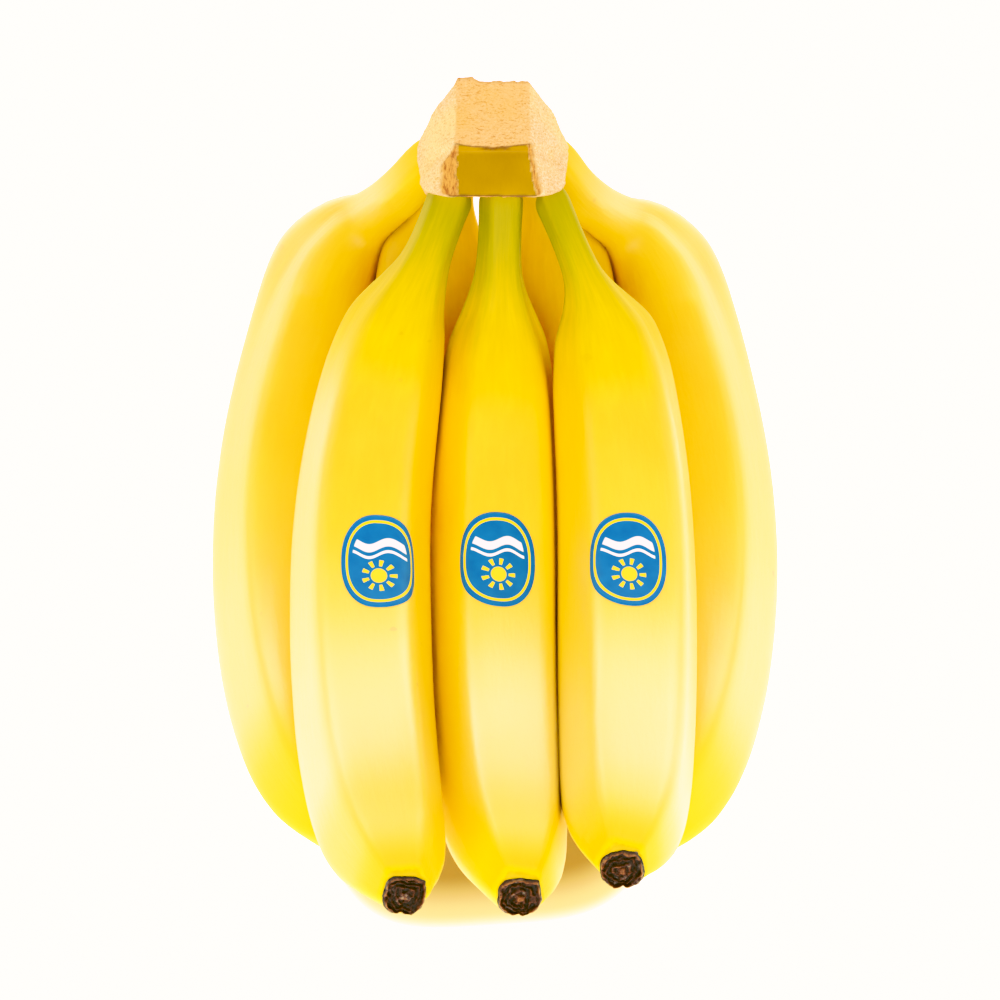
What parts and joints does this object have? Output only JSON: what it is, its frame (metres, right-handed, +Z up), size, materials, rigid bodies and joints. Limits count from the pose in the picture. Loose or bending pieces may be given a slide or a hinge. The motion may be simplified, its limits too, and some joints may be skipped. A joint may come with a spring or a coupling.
{
  "type": "bunch of bananas",
  "caption": "Bunch of ripe curved bananas on one cut crown, lying on its back, the front ones with an oval sticker.",
  "frame": {"origin": "centre of the bunch's plan at the height it rests on", "axes": "+X across the bunch to the right seen from above with the crown away from the viewer, +Y from the blossom ends to the crown, +Z up, towards the inside of the bananas' bend"},
  "size_m": [0.158, 0.2486, 0.1252],
  "materials": {
    "banana_skin": "satin, ripe yellow with greener necks",
    "cut_stalk": "dry, cork-like cut faces",
    "dried_blossom": "dry and dark",
    "sticker_film": "semi-gloss printed film"
  },
  "bodies": {
    "root": {"crown": "cut_stalk", "banana_front_middle": "banana_skin", "banana_front_left": "banana_skin", "banana_front_right": "banana_skin", "banana_back_inner_left": "banana_skin", "banana_back_inner_right": "banana_skin", "banana_back_outer_left": "banana_skin", "banana_back_outer_right": "banana_skin", "blossom_end_front_middle": "dried_blossom", "blossom_end_front_left": "dried_blossom", "blossom_end_front_right": "dried_blossom", "blossom_end_back_inner_left": "dried_blossom", "blossom_end_back_inner_right": "dried_blossom", "blossom_end_back_outer_left": "dried_blossom", "blossom_end_back_outer_right": "dried_blossom", "sticker_front_middle": "sticker_film", "sticker_front_left": "sticker_film", "sticker_front_right": "sticker_film"}
  },
  "joints": []
}
